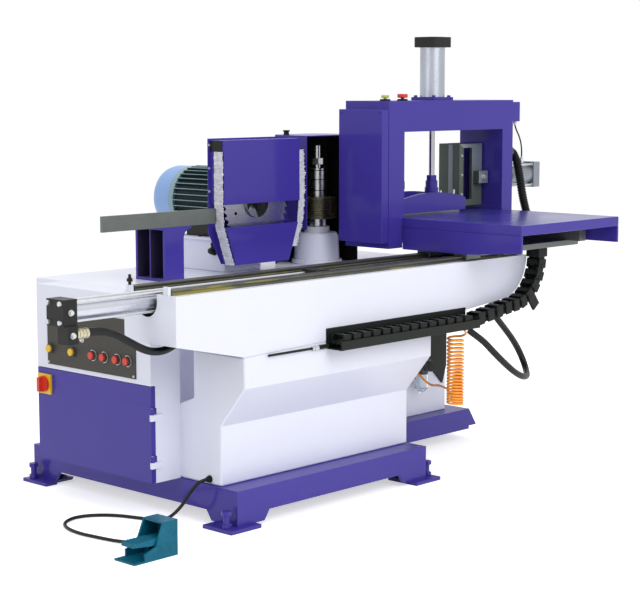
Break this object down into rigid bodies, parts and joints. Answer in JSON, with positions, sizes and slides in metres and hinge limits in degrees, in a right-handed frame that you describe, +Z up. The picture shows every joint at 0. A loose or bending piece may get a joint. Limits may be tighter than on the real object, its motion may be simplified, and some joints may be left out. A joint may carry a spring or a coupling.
{
  "type": "tenoning machine",
  "caption": "Floor-standing tenoning machine: a sliding table with clamp portal runs on a long bed past a trim saw and a finger-jointing spindle; cabinet, foot pedal and hoses included.",
  "frame": {"origin": "centre of the machine's footprint box, on the floor", "axes": "+X along the bed towards the table's loading end, +Y to the rear, +Z up"},
  "size_m": [2.585, 1.301, 1.554],
  "materials": {
    "purple_enamel": "satin stoved enamel",
    "white_enamel": "gloss machine enamel",
    "cabinet_enamel": "satin machine enamel",
    "zinc_steel": "zinc plated",
    "ground_steel": "ground and oiled",
    "turned_steel": "turned",
    "blade_steel": "ground",
    "cutter_steel": "oiled tool steel",
    "pusher_steel": "grey-green paint",
    "honed_tube": "drawn tube",
    "cast_aluminium": "cast and machined",
    "chromed_rod": "hard chrome",
    "black_iron": "black paint",
    "grey_iron": "machined",
    "motor_teal": "motor paint",
    "cover_blue": "light blue paint",
    "panel_black": "black powder coat",
    "black_rubber": "matte",
    "black_nylon": "moulded",
    "orange_hose": "polyurethane",
    "grey_plastic": "moulded",
    "clear_bowl": "clear polycarbonate",
    "red_plastic": "moulded",
    "yellow_plastic": "moulded",
    "green_plastic": "moulded",
    "pedal_teal": "hammered teal paint"
  },
  "bodies": {
    "machine": {"base_frame": "purple_enamel", "levelling_bolts": "zinc_steel", "pedestal": "white_enamel", "bed": "white_enamel", "guide_rails": "ground_steel", "rear_body": "white_enamel", "electrical_cabinet": "cabinet_enamel", "control_panel": "panel_black", "feed_barrel": "honed_tube", "feed_ends": "black_iron", "feed_tie_rods": "zinc_steel", "hydraulic_hoses": "black_rubber", "outfeed_bar": "ground_steel", "outfeed_bracket": "purple_enamel", "saw_base": "white_enamel", "saw_motor": "motor_teal", "fan_cover": "cover_blue", "saw_guard": "purple_enamel", "spindle_housing": "white_enamel", "cutter_hood": "purple_enamel", "spindle_motor": "motor_teal", "drive_belt": "black_rubber", "cable_tray": "panel_black", "drag_chain": "black_nylon", "coil_hose": "orange_hose", "air_unit": "grey_plastic", "air_bowl": "clear_bowl", "pedal_base": "pedal_teal", "pedal_cable": "black_rubber"},
    "door": {"cabinet_door": "purple_enamel", "switch_base": "yellow_plastic"},
    "switch": {"switch_knob": "red_plastic"},
    "saw": {"saw_arbor": "turned_steel", "saw_blade": "blade_steel"},
    "spindle": {"spindle_shaft": "turned_steel", "finger_cutters": "cutter_steel"},
    "motor_drive": {"motor_pulley": "grey_iron"},
    "carriage": {"bearing_blocks": "turned_steel", "saddle": "ground_steel", "table_top": "purple_enamel", "table_aprons": "purple_enamel", "portal": "purple_enamel", "junction_boxes": "purple_enamel", "clamp_tube": "honed_tube", "clamp_cap": "black_iron", "side_cylinder": "cast_aluminium", "feed_rod": "chromed_rod", "portal_conduit": "black_rubber"},
    "press": {"clamp_rod": "chromed_rod", "press_plate": "purple_enamel"},
    "pusher": {"side_pusher": "pusher_steel"},
    "start": {"start_button": "green_plastic"},
    "stop": {"stop_button": "red_plastic"},
    "treadle": {"pedal_treadle": "pedal_teal"},
    "push_1": {"button_1": "red_plastic"},
    "push_2": {"button_2": "red_plastic"},
    "push_3": {"button_3": "red_plastic"},
    "push_4": {"button_4": "red_plastic"},
    "push_5": {"button_5": "yellow_plastic"},
    "push_6": {"button_6": "yellow_plastic"}
  },
  "joints": [
    {"name": "table_feed", "type": "slide", "parent": "machine", "child": "carriage", "axis": [1, 0, 0], "range_m": [-0.9, 0], "deforming": ["drag_chain"]},
    {"name": "clamp_press", "type": "slide", "parent": "carriage", "child": "press", "axis": [0, 0, 1], "range_m": [0, 0.14]},
    {"name": "side_clamp", "type": "slide", "parent": "carriage", "child": "pusher", "axis": [1, 0, 0], "range_m": [-0.02, 0.006]},
    {"name": "saw_spin", "type": "hinge", "parent": "machine", "child": "saw", "pos_m": [-0.0235, 0.1925, 0.965], "axis": [0, 1, 0], "continuous": true},
    {"name": "spindle_spin", "type": "hinge", "parent": "machine", "child": "spindle", "pos_m": [0.3595, 0.2575, 0.9], "axis": [0, 0, 1], "continuous": true},
    {"name": "motor_spin", "type": "hinge", "parent": "machine", "child": "motor_drive", "pos_m": [0.5695, 0.2575, 0.6], "axis": [0, 0, 1], "continuous": true},
    {"name": "door_hinge", "type": "hinge", "parent": "machine", "child": "door", "pos_m": [-0.7895, -0.1155, 0.28], "axis": [0, 0, 1], "range_deg": [0, 110]},
    {"name": "switch_turn", "type": "hinge", "parent": "door", "child": "switch", "pos_m": [-0.8035, 0.4245, 0.383], "axis": [1, 0, 0], "range_deg": [0, 90]},
    {"name": "start_press", "type": "slide", "parent": "carriage", "child": "start", "axis": [0, 0, -1], "range_m": [0, 0.004], "stiffness_N_per_m": 900, "springref_m": -0.005},
    {"name": "stop_press", "type": "slide", "parent": "carriage", "child": "stop", "axis": [0, 0, -1], "range_m": [0, 0.004], "stiffness_N_per_m": 900, "springref_m": -0.005},
    {"name": "treadle_press", "type": "hinge", "parent": "machine", "child": "treadle", "pos_m": [-1.0095, -0.3945, 0.05], "axis": [0, 1, 0], "range_deg": [-8, 0], "stiffness_Nm_per_rad": 12, "springref_deg": 11.46},
    {"name": "button_1_press", "type": "slide", "parent": "machine", "child": "push_1", "axis": [1, 0, 0], "range_m": [0, 0.004], "stiffness_N_per_m": 500, "springref_m": -0.002},
    {"name": "button_2_press", "type": "slide", "parent": "machine", "child": "push_2", "axis": [1, 0, 0], "range_m": [0, 0.004], "stiffness_N_per_m": 500, "springref_m": -0.002},
    {"name": "button_3_press", "type": "slide", "parent": "machine", "child": "push_3", "axis": [1, 0, 0], "range_m": [0, 0.004], "stiffness_N_per_m": 500, "springref_m": -0.002},
    {"name": "button_4_press", "type": "slide", "parent": "machine", "child": "push_4", "axis": [1, 0, 0], "range_m": [0, 0.004], "stiffness_N_per_m": 500, "springref_m": -0.002},
    {"name": "button_5_press", "type": "slide", "parent": "machine", "child": "push_5", "axis": [1, 0, 0], "range_m": [0, 0.004], "stiffness_N_per_m": 500, "springref_m": -0.002},
    {"name": "button_6_press", "type": "slide", "parent": "machine", "child": "push_6", "axis": [1, 0, 0], "range_m": [0, 0.004], "stiffness_N_per_m": 500, "springref_m": -0.002}
  ],
  "couplings": [
    {"joint": "motor_spin", "follows": "spindle_spin", "ratio": 0.5625}
  ]
}
